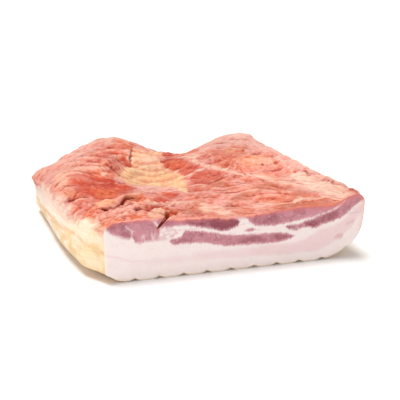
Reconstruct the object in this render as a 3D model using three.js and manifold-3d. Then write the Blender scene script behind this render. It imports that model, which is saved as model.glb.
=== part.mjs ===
// Smoked bacon: a slab of cured, smoked pork belly, lying on its rind with the meat side up.
// The front is a fresh straight cut through fat and lean. The other three sides were trimmed
// before smoking, so they are rounded. The slab is grown in one piece, so it is one solid.
// Millimetres, +Z up, +X along the cut, +Y from the cut to the back. The origin is under the
// middle of the slab, on the surface that it lies on.

import * as THREE from "three";
import { mergeVertices } from "three/addons/utils/BufferGeometryUtils.js";
import Module from "manifold-3d";

// Driving dimensions
const CUT_LENGTH = 250;
const DEPTH = 236;
const THICKNESS = 57;

// Rounding of the edges: how far each one reaches in from the side, and up or down the side.
// The right end is curled up, so its foot is rounded most of the way up.
const LEFT_EDGE = { top: { across: 12, up: 9 }, foot: { across: 28, up: 12 } };
const RIGHT_EDGE = { top: { across: 7, up: 6 }, foot: { across: 42, up: 38 } };
const FOOT_SHARE = 0.67;
const BACK_REACH = 18;

// The plan isn't square: both sides lean to the left, and the left one straightens further back.
// Near the cut the left side swells outward below its top edge; at the back its foot turns in.
// The right side tucks in to its foot.
const LEFT_LEAN = 0.29;
const LEFT_STRAIGHTENING = 0.00024;
const LEFT_SWELL = { reach: 12, full: 28, fading: 50, lost: 1.3 };
const RIGHT_LEAN = 0.17;
const RIGHT_TUCK = 5;

// Mesh steps along the cut, from front to back and up the sides
const STEPS = { along: 54, back: 38, up: 8 };

// Shallow grooves in the rind, from front to back, with five mesh steps to each one.
// The crests between them are flat for part of their width.
const GROOVE_PITCH = (5 * CUT_LENGTH) / STEPS.along;
const GROOVE_DEPTH = 2.6;
const GROOVE_START = GROOVE_PITCH / 5;
const CREST_FLAT = 0.45;

// Mounds and hollows of the meat side, measured from the front left corner of the slab.
// across and deep are their half sizes before they are turned, clockwise in degrees.
const MOUNDS = [
  { name: "left muscle", x: 8, y: 172, across: 38, deep: 76, turn: 16, height: 6 },
  { name: "left muscle's back end", x: 42, y: 252, across: 30, deep: 36, turn: 0, height: 8 },
  { name: "left shoulder", x: -50, y: 214, across: 36, deep: 60, turn: 0, height: -9 },
  { name: "hollow of soft fat", x: 78, y: 150, across: 32, deep: 54, turn: 14, height: -11 },
  { name: "saddle in the back edge", x: 121, y: 236, across: 33, deep: 50, turn: 0, height: -9 },
  { name: "right muscle", x: 182, y: 190, across: 50, deep: 66, turn: -12, height: 4 },
  { name: "back right corner", x: 206, y: 250, across: 28, deep: 38, turn: 0, height: 4 },
  { name: "right margin", x: 238, y: 86, across: 26, deep: 90, turn: -10, height: 6 },
  { name: "dip at the cut", x: 132, y: 8, across: 40, deep: 44, turn: 0, height: -3 },
  { name: "swell at the cut", x: 34, y: 16, across: 32, deep: 40, turn: 0, height: 3 },
  { name: "raised right end", x: 246, y: 8, across: 28, deep: 50, turn: 0, height: 4 },
  { name: "lip of the long split", x: 24, y: 58, across: 30, deep: 9, turn: -30, height: 3 },
  { name: "lobe beside the notch", x: 46, y: 10, across: 12, deep: 14, turn: 0, height: 2 },
];
const STEEPNESS = 1.4;

// The back edge in plan: bulges and bays along the cut's direction
const BACK_WAVES = [
  { x: -48, across: 36, reach: -24 },
  { x: 42, across: 44, reach: 26 },
  { x: 118, across: 34, reach: -8 },
  { x: 200, across: 40, reach: 14 },
];

// Long wrinkles of the meat side, which bend round the mounds
const WRINKLES = [
  { pitch: 19, turn: 4, height: 0.7, bend: 1.5, waver: 60 },
  { pitch: 29, turn: -16, height: 0.6, bend: 2.4, waver: 95 },
  { pitch: 37, turn: 40, height: 0.5, bend: 0.8, waver: 130 },
];

// Splits in the meat: where each one runs, in plan, how deep and wide it is at its middle, and
// how far its bottom lies to the left of its path, as seen from its start
const SPLITS = [
  { path: [[-26, 87], [-13, 71], [0, 63]], depth: 8, width: 4, slant: 4, open: false },
  { path: [[0, 36], [12, 33], [24, 43], [44, 62]], depth: 10, width: 5, slant: 7, open: false },
  { path: [[31, 19], [39, 16], [49, 18]], depth: 6, width: 4, slant: 4, open: false },
  { path: [[58, -6], [58, 0], [61, 10], [70, 28]], depth: 12, width: 5, slant: 12, open: true },
];
const SPLIT_STEPS = 10;
const SPLIT_RISE = 5; // how far a cutter stands above the meat
const SPLIT_BOTTOM = 0.25; // width at the bottom of a split against its mouth

const { clamp, degToRad, lerp, smoothstep } = THREE.MathUtils;

// A smooth hump that is 1 at the middle of a mound
function hump(x, y, mound) {
  const turn = degToRad(mound.turn);
  const dx = x - mound.x;
  const dy = y - mound.y;
  const across = (dx * Math.cos(turn) - dy * Math.sin(turn)) / mound.across;
  const deep = (dx * Math.sin(turn) + dy * Math.cos(turn)) / mound.deep;
  return Math.exp(-Math.pow(across * across + deep * deep, STEEPNESS));
}

// Height of the meat side above an even slab
function relief(x, y) {
  const rise = MOUNDS.reduce((sum, mound) => sum + mound.height * hump(x, y, mound), 0);
  const wrinkles = WRINKLES.reduce((sum, wrinkle) => {
    const turn = degToRad(wrinkle.turn);
    const across = x * Math.sin(turn) + y * Math.cos(turn) + wrinkle.bend * rise;
    const sway = 0.3 * Math.sin((2 * Math.PI * x) / wrinkle.waver);
    const swell = 0.7 + 0.3 * Math.sin((2 * Math.PI * (x + 0.4 * y)) / wrinkle.waver);
    return sum + wrinkle.height * swell * Math.sin(2 * Math.PI * (across / wrinkle.pitch + sway));
  }, 0);
  return rise + wrinkles;
}

// Height of the rind's scalloped underside: flat crests with a groove between each two
function scallop(along) {
  const place = (along - GROOVE_START) / GROOVE_PITCH;
  const fromCrest = Math.abs(2 * (place - Math.floor(place)) - 1);
  return GROOVE_DEPTH * Math.pow(Math.max(0, fromCrest - CREST_FLAT) / (1 - CREST_FLAT), 1.4);
}

// Rounds off the block's edges at the left, right and back. The cut at the front stays sharp.
function rounded(point) {
  const side = smoothstep(point.x, 0.3 * CUT_LENGTH, 0.7 * CUT_LENGTH);
  const level = point.z < FOOT_SHARE * THICKNESS ? "foot" : "top";
  const up = lerp(LEFT_EDGE[level].up, RIGHT_EDGE[level].up, side);
  const footAcross = lerp(LEFT_EDGE.foot.across, RIGHT_EDGE.foot.across, side);
  const topAcross = lerp(LEFT_EDGE.top.across, RIGHT_EDGE.top.across, side);
  const across = lerp(footAcross, topAcross, smoothstep(point.z, 0, THICKNESS));
  const reach = new THREE.Vector3(across, BACK_REACH, up);
  const core = new THREE.Vector3(
    clamp(point.x, across, CUT_LENGTH - across),
    Math.min(point.y, DEPTH - BACK_REACH),
    level === "foot" ? Math.max(point.z, up) : Math.min(point.z, THICKNESS - up),
  );
  const out = point.clone().sub(core).divide(reach);
  const square = Math.max(Math.abs(out.x), Math.abs(out.y), Math.abs(out.z));
  return core.add(out.normalize().multiplyScalar(square).multiply(reach));
}

// Bends the rounded block into the slab
function shaped(block) {
  const along = block.x / CUT_LENGTH;
  const up = clamp(block.z / THICKNESS, 0, 1);
  const back = block.y / DEPTH;
  const grown = smoothstep(block.y, 0, LEFT_SWELL.full);
  const faded = 1 - LEFT_SWELL.lost * smoothstep(block.y, LEFT_SWELL.fading, DEPTH);
  const swell = LEFT_SWELL.reach * grown * faded * Math.sin(0.8 * Math.PI * (1 - up));
  const left = -LEFT_LEAN * block.y + LEFT_STRAIGHTENING * block.y * block.y - swell;
  const right = CUT_LENGTH - RIGHT_LEAN * block.y - RIGHT_TUCK * (1 - up) * (1 - up);
  const x = left + along * (right - left);
  const bulge = BACK_WAVES.reduce(
    (sum, wave) => sum + wave.reach * Math.exp(-(((x - wave.x) / wave.across) ** 2)),
    0,
  );
  const y = block.y + bulge * back * back;
  const top = relief(x, y) * up * up;
  const foot = scallop(block.x) * (1 - smoothstep(up, 0, 0.3));
  return new THREE.Vector3(x, y, block.z + top + foot);
}

// Only the positions, with shared corners merged, so that the surface is closed
function closed(geometry) {
  const bare = new THREE.BufferGeometry();
  bare.setAttribute("position", geometry.getAttribute("position"));
  bare.setIndex(geometry.index);
  return mergeVertices(bare, 1e-4);
}

function slabGeometry() {
  const block = closed(
    new THREE.BoxGeometry(CUT_LENGTH, DEPTH, THICKNESS, STEPS.along, STEPS.back, STEPS.up),
  );
  block.translate(CUT_LENGTH / 2, DEPTH / 2, THICKNESS / 2);
  const place = block.getAttribute("position");
  const point = new THREE.Vector3();
  for (let i = 0; i < place.count; i++) {
    const moved = shaped(rounded(point.fromBufferAttribute(place, i)));
    place.setXYZ(i, moved.x, moved.y, moved.z);
  }
  return block;
}

// A wedge that follows a split, sinks to its depth on the way and leaves the meat at both ends.
// A split that is open at the cut keeps its depth there.
function wedge({ path, depth, width, slant, open }) {
  const curve = new THREE.CatmullRomCurve3(path.map(([x, y]) => new THREE.Vector3(x, y, 0)));
  const bar = closed(new THREE.BoxGeometry(1, 1, 1, SPLIT_STEPS, 1, 1));
  const place = bar.getAttribute("position");
  const point = new THREE.Vector3();
  for (let i = 0; i < place.count; i++) {
    point.fromBufferAttribute(place, i);
    const share = point.x + 0.5;
    const spot = curve.getPoint(share);
    const ahead = curve.getTangent(share);
    const sink = open ? 1 - share * share : Math.sin(Math.PI * share);
    const below = point.z < 0;
    const level = below ? lerp(1, -depth, sink) : SPLIT_RISE;
    const breadth = width * (0.3 + 0.7 * sink) * (below ? SPLIT_BOTTOM : 1 + SPLIT_RISE / depth);
    const aside = point.y * breadth - (slant * level) / depth;
    const height = THICKNESS + relief(spot.x, spot.y) + level;
    place.setXYZ(i, spot.x - ahead.y * aside, spot.y + ahead.x * aside, height);
  }
  return bar;
}

const wasm = await Module();
wasm.setup();

function solid(geometry) {
  return new wasm.Manifold(
    new wasm.Mesh({
      numProp: 3,
      vertProperties: geometry.getAttribute("position").array,
      triVerts: new Uint32Array(geometry.index.array),
    }),
  );
}

function geometryOf(manifold) {
  const mesh = manifold.getMesh();
  const geometry = new THREE.BufferGeometry();
  geometry.setAttribute("position", new THREE.BufferAttribute(mesh.vertProperties, mesh.numProp));
  geometry.setIndex(new THREE.BufferAttribute(mesh.triVerts, 1));
  return geometry;
}

function baconSlab() {
  const whole = solid(slabGeometry());
  const split = SPLITS.reduce((slab, place) => slab.subtract(solid(wedge(place))), whole);
  const geometry = geometryOf(split);
  geometry.computeBoundingBox();
  const { min, max } = geometry.boundingBox;
  geometry.translate(-(min.x + max.x) / 2, -(min.y + max.y) / 2, -min.z);
  geometry.computeVertexNormals();
  const smokedMeat = new THREE.MeshStandardMaterial({ color: 0xd9795c, roughness: 0.5, metalness: 0 });
  const slab = new THREE.Mesh(geometry, smokedMeat);
  slab.name = "bacon_slab";
  return slab;
}

const bacon = new THREE.Group();
bacon.add(baconSlab());

export default bacon;
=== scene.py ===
import math
import bpy
import numpy as np
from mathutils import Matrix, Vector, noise


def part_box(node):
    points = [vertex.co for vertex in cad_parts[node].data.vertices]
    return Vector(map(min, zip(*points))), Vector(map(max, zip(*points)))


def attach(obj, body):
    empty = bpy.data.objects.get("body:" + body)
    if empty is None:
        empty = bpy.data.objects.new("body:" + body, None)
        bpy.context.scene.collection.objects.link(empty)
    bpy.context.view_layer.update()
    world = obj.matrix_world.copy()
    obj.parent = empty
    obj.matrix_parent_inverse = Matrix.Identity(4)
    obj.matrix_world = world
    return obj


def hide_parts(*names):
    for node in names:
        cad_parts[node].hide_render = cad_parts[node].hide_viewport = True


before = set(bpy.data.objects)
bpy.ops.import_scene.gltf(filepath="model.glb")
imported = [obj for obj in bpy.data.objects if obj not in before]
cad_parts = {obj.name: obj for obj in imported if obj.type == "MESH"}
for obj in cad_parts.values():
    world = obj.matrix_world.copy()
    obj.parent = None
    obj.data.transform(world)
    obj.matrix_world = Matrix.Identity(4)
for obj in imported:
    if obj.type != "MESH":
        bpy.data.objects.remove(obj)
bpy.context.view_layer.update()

mm = 0.001

# the slab's shape, in millimetres from the front left corner of its cut
baconSlab = {
    "cutLength": 250.0, "depth": 236.0, "thickness": 57.0,
    "leftEdge": {"topAcross": 12, "topUp": 9, "footAcross": 28, "footUp": 12},
    "rightEdge": {"topAcross": 7, "topUp": 6, "footAcross": 42, "footUp": 38},  # this end curls up
    "footShare": 0.67, "backReach": 18.0,
    "leftLean": 0.29, "leftStraightening": 0.00024,
    "leftSwell": 12.0, "swellFull": 28.0, "swellFading": 50.0, "swellLost": 1.3,
    "rightLean": 0.17, "rightTuck": 5.0,
    "groovePitch": 250.0 / 54 * 5, "grooveDepth": 2.6, "grooveStart": 250.0 / 54, "crestFlat": 0.45,
    # mounds and hollows of the meat side: x, y, half across, half deep, turn in degrees, height
    "mounds": {
        "left muscle": (8, 172, 38, 76, 16, 6),
        "left muscle's back end": (42, 252, 30, 36, 0, 8),
        "left shoulder": (-50, 214, 36, 60, 0, -9),
        "hollow of soft fat": (78, 150, 32, 54, 14, -11),
        "saddle in the back edge": (121, 236, 33, 50, 0, -9),
        "right muscle": (182, 190, 50, 66, -12, 4),
        "back right corner": (206, 250, 28, 38, 0, 4),
        "right margin": (238, 86, 26, 90, -10, 6),
        "dip at the cut": (132, 8, 40, 44, 0, -3),
        "swell at the cut": (34, 16, 32, 40, 0, 3),
        "raised right end": (246, 8, 28, 50, 0, 4),
        "lip of the long split": (24, 58, 30, 9, -30, 3),
        "lobe beside the notch": (46, 10, 12, 14, 0, 2),
    },
    "steepness": 1.4,
    # bulges and bays of the back edge: x, half across, reach
    "backWaves": [(-48, 36, -24), (42, 44, 26), (118, 34, -8), (200, 40, 14)],
    # long wrinkles: pitch, turn in degrees, height, bend, waver
    "wrinkles": [(19, 4, 0.7, 1.5, 60), (29, -16, 0.6, 2.4, 95), (37, 40, 0.5, 0.8, 130)],
    # lattice lines along, back and up, and where they crowd: middle, width, gain
    "lines": (236, 160, 30),
    "crowd": [(0.17, 0.14, 0.9), (0.0, 0.35, 1.0), (1.0, 0.3, 1.2)],
    # splits: path in plan, depth, width, how far the bottom runs under the flap on the left, flap height
    "splits": [
        ([(-27, 86), (-21, 81), (-16, 78), (-11, 73), (-2, 65)], 4.0, 4.2, 2.0, 2.0),
        ([(-19, 77), (-15, 82), (-10, 89)], 1.6, 2.2, 0.5, 0.0),
        ([(-1, 39), (6, 35), (12, 33), (17, 35), (22, 43)], 6.0, 5.2, 3.0, 1.6),
        ([(17, 35), (22, 43), (28, 50), (34, 55), (42, 58)], 2.2, 3.8, 1.5, 1.2),
        ([(29, 20), (35, 20), (41, 20), (47, 19)], 3.4, 4.6, 2.0, 2.4),
        ([(56, 176), (57, 188), (61, 206), (66, 231)], 2.6, 2.6, 1.0, 1.0),
        ([(38, 128), (34, 138), (31, 149), (26, 158)], 2.2, 3.0, 1.2, 1.0),
        ([(43, 146), (39, 156), (35, 165), (29, 171)], 1.6, 2.6, 1.0, 0.8),
        ([(48, 163), (45, 172), (41, 180), (35, 187)], 1.4, 2.4, 1.0, 0.6),
        ([(116, 82), (125, 88), (136, 96), (148, 104)], 1.4, 2.2, 0.8, 0.5),
        ([(150, 9), (166, 11), (182, 9), (205, 9)], 0.9, 2.0, 0.5, 0.3),
    ],
    # hollows: depth, softness of the border, outline in plan
    "hollows": [
        (2.8, 3.4, [(33, 18), (37, 28), (43, 34), (54, 36), (68, 37), (71, 33), (60, 29), (53, 22), (49, 12),
                    (41, 13)]),
        (2.8, 1.8, [(56, 4), (56, 12), (60, 19), (66, 23), (70, 17), (63, 10), (60, 3)]),
    ],
    # single small holes: x, y, radius, depth
    "holes": [(191, 128, 1.5, 1.6), (28, 70, 2.0, 2.0), (152, 150, 1.4, 1.4), (140, 158, 1.6, 1.4),
              (183, 172, 1.4, 1.2), (68, 12, 2.0, 2.4), (74, 19, 1.6, 1.8)],
    # lumps and light ridges: x, y, half across, half deep, turn in degrees, height
    "lumps": [(9, 47, 10, 6, -8, 2.4), (30, 53, 9, 5, -28, 1.8), (14, 24, 12, 6, 0, 1.4),
              (33, 31, 8, 7, -20, 1.6), (49, 9, 6, 8, 0, 1.6), (-10, 52, 10, 8, 20, 1.0),
              (220, 80, 5, 8, 0, 1.6), (224, 66, 4, 7, 0, 1.4), (230, 38, 5, 8, 0, 1.8),
              (233, 24, 4, 7, 0, 1.6), (241, 8, 5, 8, 0, 1.2), (212, 108, 5, 8, 0, 1.5),
              (108, 146, 10, 16, 20, 1.2), (72, 58, 9, 7, 0, 1.2)],
    "ridges": [([(97, 120), (106, 120), (117, 128), (128, 136)], 2.0, 1.4),
               ([(42, 43), (54, 38), (66, 36), (80, 39)], 2.4, 1.4)],
    # left edge worn rounder towards the back: depth, reach inwards, where it starts and where it is full
    "wornEdge": {"depth": 6.0, "reach": 20.0, "start": 80.0, "full": 170.0},
    # notch in the top edge of the cut: x there, drift behind it, half width, depth, length, lean to the left
    "notch": {"x": 57.5, "turn": 0.3, "half": 2.4, "depth": 10.0, "length": 18.0, "lean": 9.0,
              "leanReach": 12.0, "leanFade": (1, 16), "sway": 0.8, "swayPitch": 2.5},
    # the strands follow these lines: place across the strands, and points in plan
    "guides": [
        (0, [(-10, 0), (60, 0), (130, 0), (200, 0)]),
        (22, [(-14, 26), (32, 20), (80, 22), (130, 16), (180, 10), (212, 2)]),
        (50, [(-16, 58), (46, 55), (77, 50), (120, 56), (160, 50), (200, 38), (222, 24), (232, 4)]),
        (75, [(172, 75), (200, 62), (222, 44), (234, 26), (241, 6)]),
        (95, [(183, 95), (213, 80), (228, 60), (239, 34), (247, 8)]),
        (84, [(116, 83), (125, 88), (136, 96), (147, 103)]),
        (120, [(97, 120), (106, 120), (117, 128), (127, 135)]),
        (90, [(164, 133), (186, 158)]), (108, [(145, 138), (175, 171)]), (128, [(151, 172), (167, 180)]),
        (88, [(28, 84), (15, 87), (4, 93), (-8, 97), (-19, 104)]),
        (112, [(26, 111), (15, 108), (6, 112), (-2, 128), (-10, 136), (-22, 132)]),
        (132, [(27, 120), (23, 133), (14, 145), (2, 146), (-13, 153), (-24, 152)]),
        (158, [(35, 143), (32, 172), (22, 179), (14, 187), (5, 186), (-9, 170), (-20, 165)]),
        (185, [(48, 173), (46, 203), (33, 210), (21, 212), (3, 197), (-13, 189)]),
        (112, [(70, 110)]), (150, [(75, 150)]), (192, [(80, 200)]),
        (232, [(60, 250), (0, 236), (110, 236), (200, 240)]),
    ],
    # relief along the strands: length, width, height, seed of its noise
    "folds": (62, 15, 1.2, 7.3), "strands": (42, 6.5, 1.0, 11.9), "fibres": (18, 2.8, 0.6, 17.3),
    "flakes": (11, 4.5, 0.6, 33.3), "cords": (70, 11, 0.4, 81.7),
    # share of its height that is lost in soft fat, where the meat is spongy and where it is crumbly
    "lost": {"folds": (0.75, 0.9, 0.3), "strands": (0.75, 0.9, 0.3), "fibres": (0.6, 0.5, 0),
             "flakes": (0.4, 0.8, 0)},
    # relief without a direction: size, height, seed
    "swells": (19, 1.1, 23.7), "crumbs": (6.5, 1.7, 27.1), "pores": (5.5, 0.8, 83.6),
    "grit": (3, 0.55, 35.9),
    # noise that bends outlines, strands and edges: length, width, reach, seed of each layer
    "outlineNoiseX": [(17, 17, 6, 41.3), (5, 5, 3, 43.7)],
    "outlineNoiseY": [(17, 17, 6, 47.1), (5, 5, 3, 53.9)],
    "strandNoise": [(48, 40, 5, 3.1), (16, 12, 2, 5.7)],
    "splitNoise": [(6, 6, 1.5, 71.9), (2.5, 2.5, 0.8, 73.3)],
    "crustNoise": [(9, 9, 0.12, 67.7), (3, 3, 0.08, 69.1)],
    # lumps and layers of the sides, the same way
    "sideLumps": [(27, 17, 1.6, 31.7), (24, 2.6, 0.5, 38.3)],
    "sideGrain": [(10, 4.5, 0.6, 37.9)], "crustLumps": [(6, 6, 1.6, 39.1)],
    "rimRounding": 0.7,
    # ridges and hollows that show in the colour as painted highlights and painted shade: reach in lattice
    # lines, gain
    "ridgeReaches": [(1, 0.4), (3, 0.5), (8, 0.2)], "ridgeLimit": 1.5,
    # where the folds are high, and where the meat is spongy: x, y, half across, half deep, turn in degrees
    "foldedSpot": (8, 150, 40, 74, 10), "spongySpot": (188, 148, 40, 56, -12),
    # zones of colour on the meat side: share, softness of the border, outline in plan
    "zones": {
        "crumbly": [
            (1.0, 7, [(-24, 62), (0, 58), (46, 56), (84, 46), (92, 22), (80, 2), (20, 2), (-8, 10),
                      (-18, 40)])],
        "softFat": [
            (1.0, 2.0, [(37, 132), (46, 156), (56, 177), (58, 206), (66, 226), (80, 218), (88, 231),
                        (96, 222), (103, 226), (98, 209), (90, 201), (95, 194), (94, 187), (93, 180),
                        (96, 172), (98, 164), (100, 154), (96, 147), (99, 140), (98, 132), (101, 124),
                        (96, 117), (99, 110), (97, 104), (92, 100), (99, 92), (92, 84), (96, 72), (90, 64),
                        (86, 74), (82, 90), (72, 108), (46, 108), (39, 116)])],
        "red": [
            (1.0, 6, [(-19, 126), (-2, 134), (10, 124), (30, 116), (40, 98), (37, 74), (30, 62), (14, 60),
                      (1, 68), (-10, 74), (-22, 84), (-21, 106)]),
            (1.0, 3, [(95, 186), (103, 199), (114, 194), (122, 172), (124, 154), (132, 141), (113, 125),
                      (104, 121), (100, 128), (99, 150), (97, 170)]),
            (0.9, 3, [(103, 111), (118, 125), (136, 128), (148, 104), (133, 92), (116, 83), (107, 84)]),
            (0.9, 4, [(99, 104), (114, 96), (112, 80), (102, 80)]),
            (1.0, 3, [(97, 200), (97, 240), (116, 238), (113, 200)]),
            (1.0, 4, [(55, 58), (67, 68), (82, 59), (74, 46), (57, 48)]),
            (0.8, 4, [(12, 176), (16, 198), (28, 203), (34, 190), (30, 172), (20, 166)]),
            (0.6, 3, [(22, 196), (26, 206), (54, 204), (56, 192), (40, 196)]),
            (0.8, 3, [(43, 192), (53, 196), (57, 178), (47, 169)]),
            (0.6, 8, [(136, 180), (152, 190), (170, 186), (184, 162), (176, 145), (160, 129), (144, 132),
                      (134, 156)]),
            (0.7, 6, [(34, 24), (42, 36), (58, 39), (72, 36), (58, 28), (50, 13), (38, 15)]),
            (0.8, 3, [(21, 51), (34, 60), (43, 57), (30, 47), (21, 43)]),
            (0.7, 4, [(-36, 150), (-32, 163), (-28, 150), (-32, 142)]),
            (0.45, 6, [(-24, 72), (-8, 66), (2, 56), (-4, 34), (-16, 46)]),
        ],
        "brownAndShade": [
            # dark red-brown on the left muscle's flanks: partly the meat's own colour, partly painted shade
            (0.8, 5, [(27, 163), (36, 170), (42, 156), (40, 132), (33, 129), (27, 145)]),
            (0.7, 6, [(33, 183), (50, 190), (50, 176), (44, 160), (34, 167)]),
        ],
        "tan": [
            (0.8, 5, [(160, 50), (162, 64), (172, 69), (182, 62), (178, 52), (168, 50)]),
            (0.7, 4, [(180, 46), (184, 58), (192, 58), (192, 48), (186, 44)]),
            (0.6, 6, [(188, 30), (192, 48), (202, 50), (206, 40), (200, 30), (192, 26)]),
            (0.75, 4, [(126, 36), (134, 44), (146, 50), (150, 42), (140, 34)]),
            (0.7, 4, [(124, 76), (128, 88), (138, 86), (134, 76)]),
            (0.75, 3, [(117, 18), (121, 28), (130, 27), (128, 17)]),
            (0.5, 4, [(158, 2), (166, 11), (182, 11), (196, 14), (212, 15), (222, 11), (222, 1), (190, -2),
                      (166, -2)]),
            (0.7, 4, [(61, 10), (64, 24), (76, 27), (92, 26), (95, 14), (84, 11), (72, 10)]),
            (0.25, 5, [(148, 200), (154, 219), (174, 220), (176, 204), (162, 197)]),
        ],
        "orange": [
            (0.6, 4, [(-8, 20), (5, 12), (18, 4), (14, -4), (2, -4), (-6, 6)]),
            (0.9, 4, [(0, 90), (28, 92), (27, 64), (4, 72)]),
            (0.6, 6, [(160, 126), (176, 132), (184, 118), (172, 108), (160, 114)]),
            (0.5, 5, [(96, 180), (106, 190), (116, 176), (118, 150), (106, 140), (98, 152)]),
        ],
        "amber": [
            (0.9, 3, [(-1, 48), (9, 57), (20, 52), (19, 43), (5, 37)]),
            (0.5, 4, [(22, 56), (36, 62), (46, 58), (36, 50), (24, 47)]),
            (0.4, 4, [(92, 30), (98, 36), (106, 34), (110, 24), (104, 16), (96, 18)]),
            (0.7, 2, [(41, 2), (48, 16), (56, 17), (55, -3), (44, -4)]),
            (0.6, 10, [(164, 146), (182, 152), (198, 150), (202, 126), (186, 122), (170, 134)]),
            (0.5, 6, [(158, 172), (166, 182), (178, 178), (172, 166)]),
            (0.6, 4, [(-27, 100), (-20, 104), (-13, 94), (-15, 84), (-22, 88)]),
            (0.35, 10, [(-30, 130), (-22, 168), (-8, 160), (-14, 110), (-24, 98)]),
        ],
        "cream": [
            (0.4, 2, [(41, 2), (48, 16), (56, 17), (55, -3), (44, -4)]),
            (0.75, 4, [(92, 30), (98, 36), (106, 34), (112, 24), (122, 10), (122, 0), (110, 0), (106, 12),
                       (98, 18)]),
            (0.55, 6, [(168, 90), (180, 92), (200, 84), (216, 78), (218, 60), (204, 60), (188, 64),
                       (176, 76)]),
            (0.7, 5, [(184, 226), (188, 248), (206, 248), (208, 232), (198, 224)]),
            (0.7, 3, [(34, 238), (43, 238), (42, 227), (34, 227)]),
            (0.9, 5, [(203, 86), (212, 95), (220, 84), (226, 64), (230, 46), (235, 20), (238, -2), (222, -2),
                      (218, 18), (214, 30), (207, 52)]),
            (0.6, 6, [(116, 200), (130, 206), (140, 194), (132, 180), (120, 184)]),
        ],
        "pale": [
            (0.9, 5, [(42, 104), (74, 111), (97, 98), (90, 68), (52, 76)]),
            (0.45, 9, [(-28, 136), (20, 146), (22, 176), (14, 184), (30, 212), (24, 232), (-12, 200),
                       (-32, 165)]),
            (0.7, 4, [(24, 28), (27, 44), (34, 52), (40, 46), (38, 30), (31, 24)]),
            (0.4, 5, [(146, 60), (150, 76), (158, 88), (172, 88), (174, 72), (166, 66), (160, 58)]),
            (0.85, 8, [(-34, 196), (-22, 226), (8, 246), (20, 236), (18, 206), (4, 192), (-16, 182)]),
            (0.5, 4, [(-4, 36), (9, 31), (23, 38), (38, 44), (42, 29), (32, 9), (16, 9), (0, 18)]),
            (0.35, 7, [(146, 78), (172, 74), (178, 40), (130, 30), (112, 52), (140, 56)]),
            (0.35, 9, [(178, 112), (196, 140), (202, 164), (216, 150), (214, 113), (200, 91), (184, 92)]),
            (0.8, 4, [(34, 122), (44, 128), (40, 104), (30, 109)]),
            (0.5, 8, [(180, 64), (198, 74), (216, 62), (227, 38), (231, 8), (218, 8), (210, 24), (196, 42),
                      (180, 50)]),
            (1.0, 11, [(140, 196), (148, 228), (186, 252), (216, 250), (222, 214), (216, 168), (204, 160),
                       (192, 190), (168, 194)]),
            (0.8, 9, [(208, 170), (222, 176), (236, 110), (248, 40), (236, 20), (226, 56), (216, 96),
                      (206, 130)]),
            (0.7, 8, [(-52, 196), (-24, 226), (16, 262), (60, 270), (88, 250), (60, 254), (30, 244),
                      (-12, 208), (-40, 182)]),
            (0.6, 9, [(-48, 196), (-36, 122), (-22, 88), (-12, 96), (-16, 150), (-30, 198)]),
            (0.4, 6, [(96, 40), (126, 34), (126, 22), (96, 20)]),
            (0.12, 14, [(118, 150), (150, 190), (200, 200), (226, 120), (240, 30), (228, 2), (120, 4),
                        (104, 60)]),
        ],
    },
    # on the sides, by distance from the cut: foot of the crust, seam in the fat, pale line in the crust
    "crustEnd": [(0, 0.8), (15, 0.86), (40, 0.87), (60, 0.87), (82, 0.85), (105, 0.83), (145, 0.84),
                 (175, 0.76), (240, 0.6)],
    "seam": [(0, 0.51), (25, 0.6), (45, 0.6), (75, 0.5), (115, 0.47), (165, 0.36), (240, 0.36)],
    "paleLine": [(50, 0.74), (78, 0.7), (111, 0.72), (137, 0.77), (157, 0.84), (200, 0.95)],
    # lines of colour: share, half width, path
    "bands": {
        "cream": [
            (0.65, 6.0, [(131, 192), (125, 174), (122, 162), (130, 146), (138, 133), (149, 119), (159, 109),
                         (170, 95), (183, 82), (200, 60), (216, 38)]),
            (0.9, 2.2, [(97, 120), (106, 120), (117, 128), (128, 136)]),
            (0.7, 2.4, [(42, 43), (54, 38), (66, 36), (80, 39)]),
            (0.7, 3.6, [(146, 19), (165, 19), (182, 19), (199, 20), (216, 19)]),
        ],
        "orange": [
            (0.38, 3.0, [(122, 10), (140, 11), (160, 7), (176, 6), (193, 5), (206, 8), (214, 12)]),
        ],
        "brownAndShade": [
            # partly painted shadow beside the flap, along the splits and in the hollows, partly real brown
            # flecks, as on the right edge
            (0.9, 4.0, [(4, 35), (10, 31), (16, 29), (20, 31), (23, 38)]),
            (0.8, 3.0, [(94, 38), (98, 38), (103, 39)]),
            (0.8, 3.2, [(-24, 87), (-19, 81), (-12, 74), (-5, 68)]),
            (0.9, 3.0, [(30, 19), (36, 19), (42, 19), (47, 18)]),
            (0.75, 5.0, [(33, 27), (37, 20), (42, 12), (47, 8)]),
            (0.5, 4.5, [(45, 25), (53, 26), (61, 23), (68, 17)]),
            (0.5, 3.0, [(140, 176), (134, 170), (128, 166)]),
            (1.0, 4.0, [(219, 84), (223, 76), (225, 68)]), (1.0, 4.0, [(227, 52), (231, 40), (234, 30)]),
            (0.9, 3.6, [(240, 12), (244, 4)]),
        ],
    },
}


def smoothStep(value, low, high):
    share = np.clip((value - low) / (high - low), 0, 1)
    return share * share * (3 - 2 * share)


def hump(x, y, spot, steepness):
    midX, midY, across, deep, turn = spot[:5]
    c, s = math.cos(math.radians(turn)), math.sin(math.radians(turn))
    u = ((x - midX) * c - (y - midY) * s) / across
    v = ((x - midX) * s + (y - midY) * c) / deep
    return np.exp(-(u * u + v * v) ** steepness)


def moundRise(x, y):
    return sum(spot[5] * hump(x, y, spot, baconSlab["steepness"]) for spot in baconSlab["mounds"].values())


def wrinkleRise(x, y, rise):
    total = np.zeros_like(x)
    for pitch, turn, height, bend, waver in baconSlab["wrinkles"]:
        t = math.radians(turn)
        across = x * math.sin(t) + y * math.cos(t) + bend * rise
        sway = 0.3 * np.sin(2 * math.pi * x / waver)
        swell = 0.7 + 0.3 * np.sin(2 * math.pi * (x + 0.4 * y) / waver)
        total += height * swell * np.sin(2 * math.pi * (across / pitch + sway))
    return total


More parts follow.
